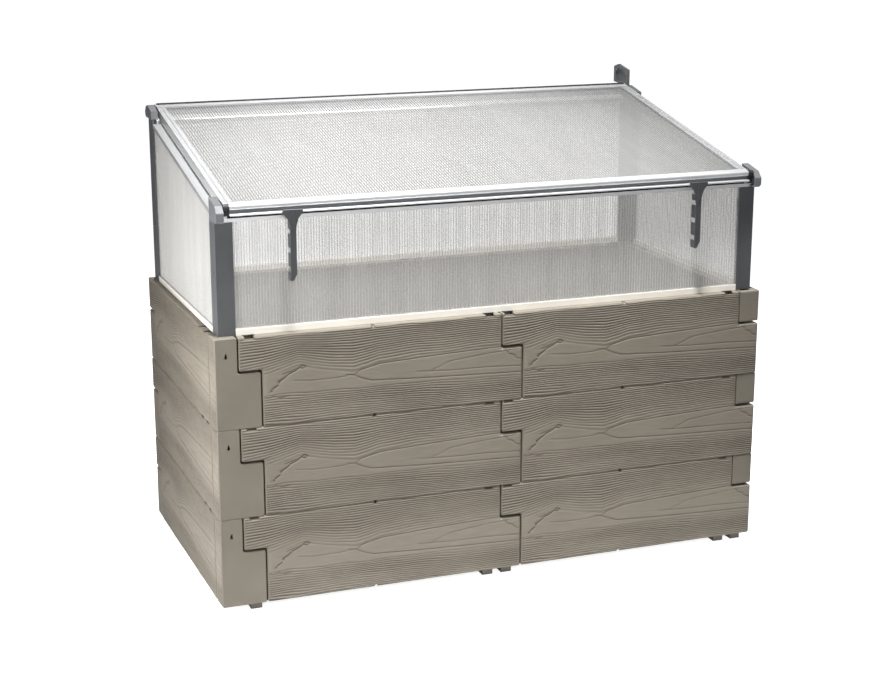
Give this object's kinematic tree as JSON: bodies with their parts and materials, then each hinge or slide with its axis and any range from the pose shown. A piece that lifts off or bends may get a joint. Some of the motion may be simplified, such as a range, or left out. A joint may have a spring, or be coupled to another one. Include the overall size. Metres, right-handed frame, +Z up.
{
  "type": "cold frame",
  "caption": "Raised bed of stacked hollow wood-grain plastic planks with a glazed cold frame on top, its sloping lid hinged at the back and two hooked stays along the lid's front edge.",
  "frame": {"origin": "centre of the bounding box at the base, on the ground under the bottom row's pegs", "axes": "+X along the front towards the viewer's right, -Y out of the front, +Z up; the lid's hinge runs along X at the back"},
  "size_m": [1.3, 0.7392, 1.0729],
  "materials": {
    "planter_shell": "embossed wood grain",
    "post": "satin",
    "cap": "fine matt",
    "plug": "matt",
    "clip": "matt",
    "stay": "satin",
    "rail": "mill, satin",
    "twin_wall_sheet": "translucent, fluted",
    "seal": "matt",
    "screw": "zinc plated"
  },
  "bodies": {
    "planter": {"front_bottom_rail": "rail", "front_glazing": "twin_wall_sheet", "front_left_cap": "cap", "front_left_corner_bottom": "planter_shell", "front_left_corner_middle": "planter_shell", "front_left_corner_top": "planter_shell", "front_left_plank_bottom": "planter_shell", "front_left_plank_middle": "planter_shell", "front_left_plank_top": "planter_shell", "front_left_post": "post", "front_rail_seal": "seal", "front_right_cap": "cap", "front_right_plank_bottom": "planter_shell", "front_right_plank_middle": "planter_shell", "front_right_plank_top": "planter_shell", "front_right_post": "post", "front_top_rail": "rail", "glazing_clip": "clip", "left_bottom_rail": "rail", "left_glazing": "twin_wall_sheet", "left_side_plank_bottom": "planter_shell", "left_side_plank_middle": "planter_shell", "left_side_plank_top": "planter_shell", "left_top_rail": "rail", "post_screws": "screw", "rear_bottom_rail": "rail", "rear_glazing": "twin_wall_sheet", "rear_left_cap": "cap", "rear_left_plank_bottom": "planter_shell", "rear_left_plank_middle": "planter_shell", "rear_left_plank_top": "planter_shell", "rear_left_post": "post", "rear_right_cap": "cap", "rear_right_corner_bottom": "planter_shell", "rear_right_corner_middle": "planter_shell", "rear_right_corner_top": "planter_shell", "rear_right_plank_bottom": "planter_shell", "rear_right_plank_middle": "planter_shell", "rear_right_plank_top": "planter_shell", "rear_right_post": "post", "rear_top_rail": "rail", "right_bottom_rail": "rail", "right_glazing": "twin_wall_sheet", "right_side_plank_bottom": "planter_shell", "right_side_plank_middle": "planter_shell", "right_side_plank_top": "planter_shell", "right_top_rail": "rail"},
    "lid": {"lid_front_left_plug": "plug", "lid_front_rail": "rail", "lid_front_right_plug": "plug", "lid_front_seal": "seal", "lid_glazing": "twin_wall_sheet", "lid_left_rail": "rail", "lid_rear_left_plug": "plug", "lid_rear_rail": "rail", "lid_rear_right_plug": "plug", "lid_rear_seal": "seal", "lid_right_rail": "rail"},
    "left_stay_arm": {"left_stay": "stay"},
    "right_stay_arm": {"right_stay": "stay"}
  },
  "joints": [
    {"name": "lid_hinge", "type": "hinge", "parent": "planter", "child": "lid", "pos_m": [0, 0.2917, 1.0142], "axis": [-1, 0, 0], "range_deg": [0, 100]},
    {"name": "left_stay_pivot", "type": "hinge", "parent": "lid", "child": "left_stay_arm", "pos_m": [-0.476, -0.36134, 0.87502], "axis": [-1, 0, 0], "range_deg": [-3, 80]},
    {"name": "right_stay_pivot", "type": "hinge", "parent": "lid", "child": "right_stay_arm", "pos_m": [0.476, -0.36134, 0.87502], "axis": [-1, 0, 0], "range_deg": [-3, 80]}
  ]
}
